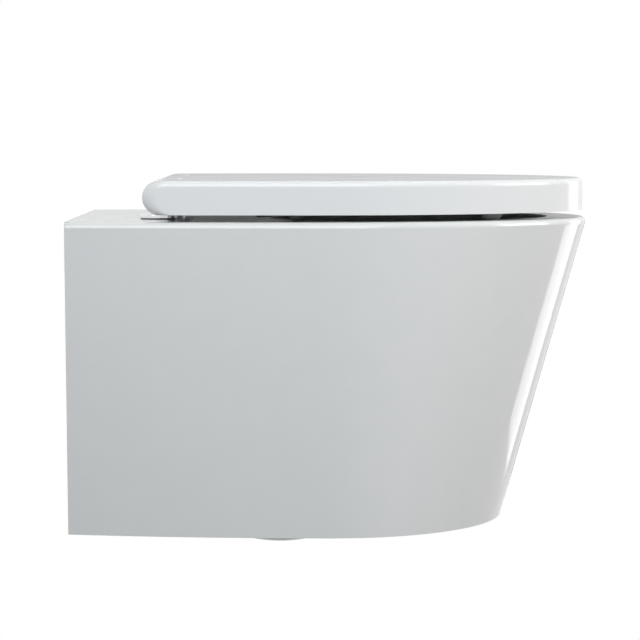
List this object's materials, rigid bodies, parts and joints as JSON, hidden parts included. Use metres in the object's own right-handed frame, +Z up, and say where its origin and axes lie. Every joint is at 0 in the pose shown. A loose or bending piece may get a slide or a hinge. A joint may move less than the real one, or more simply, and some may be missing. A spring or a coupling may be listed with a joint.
{
  "type": "wall hung toilet",
  "caption": "Wall hung toilet with a skirted ceramic pan, soft-close seat ring and wrap-over cover on quick-release hinges.",
  "frame": {"origin": "on the wall plane, midway between the two wall bolt holes", "axes": "X across the pan, +Y into the wall, the pan stands out towards -Y, +Z up"},
  "size_m": [0.36, 0.5381, 0.392],
  "materials": {
    "glazed_ceramic": "white fired glaze, glossy",
    "cover_plastic": "white moulded plastic, glossy",
    "hinge_plastic": "white moulded plastic, glossy",
    "latch_plastic": "grey moulded plastic",
    "damper_plastic": "dark grey moulded plastic",
    "sleeve_plastic": "natural white plastic",
    "grey_rubber": "grey soft rubber",
    "chrome": "polished",
    "steel": "stainless, drawn"
  },
  "bodies": {
    "pan_body": {"pan_rim": "glazed_ceramic", "pan_skirt": "glazed_ceramic", "pan_back": "glazed_ceramic", "pan_bowl": "glazed_ceramic", "pan_trap": "glazed_ceramic", "pan_outlet": "glazed_ceramic", "pan_inlet": "glazed_ceramic", "wall_sleeves": "sleeve_plastic", "hinge_base_left": "chrome", "hinge_base_right": "chrome", "base_gaskets": "grey_rubber", "hinge_studs": "steel", "cone_bushes": "grey_rubber", "clamp_washers": "sleeve_plastic", "wing_nuts": "sleeve_plastic", "hinge_barrel_left": "hinge_plastic", "hinge_barrel_right": "hinge_plastic", "latch_spring_left": "steel", "latch_spring_right": "steel", "damper_lid": "damper_plastic", "damper_ring": "damper_plastic", "pivot_pin_lid": "steel", "pivot_pin_ring": "steel"},
    "ring_body": {"seat_ring": "cover_plastic", "rim_bumpers": "grey_rubber", "damper_shaft_ring": "steel", "bush_ring": "sleeve_plastic"},
    "cover_body": {"lid": "cover_plastic", "lid_bumpers": "grey_rubber", "damper_shaft_lid": "steel", "bush_lid": "sleeve_plastic"},
    "latch_left_body": {"latch_left": "latch_plastic"},
    "latch_right_body": {"latch_right": "latch_plastic"}
  },
  "joints": [
    {"name": "ring_hinge", "type": "hinge", "parent": "pan_body", "child": "ring_body", "pos_m": [0, -0.094, 0.104], "axis": [-1, 0, 0], "range_deg": [0, 91]},
    {"name": "cover_hinge", "type": "hinge", "parent": "ring_body", "child": "cover_body", "pos_m": [0, -0.094, 0.104], "axis": [1, 0, 0], "range_deg": [-92, 0]},
    {"name": "latch_left_push", "type": "slide", "parent": "pan_body", "child": "latch_left_body", "axis": [0, -1, 0], "range_m": [0, 0.002], "stiffness_N_per_m": 300, "springref_m": -0.002, "deforming": ["latch_spring_left"]},
    {"name": "latch_right_push", "type": "slide", "parent": "pan_body", "child": "latch_right_body", "axis": [0, -1, 0], "range_m": [0, 0.002], "stiffness_N_per_m": 300, "springref_m": -0.002, "deforming": ["latch_spring_right"]}
  ]
}
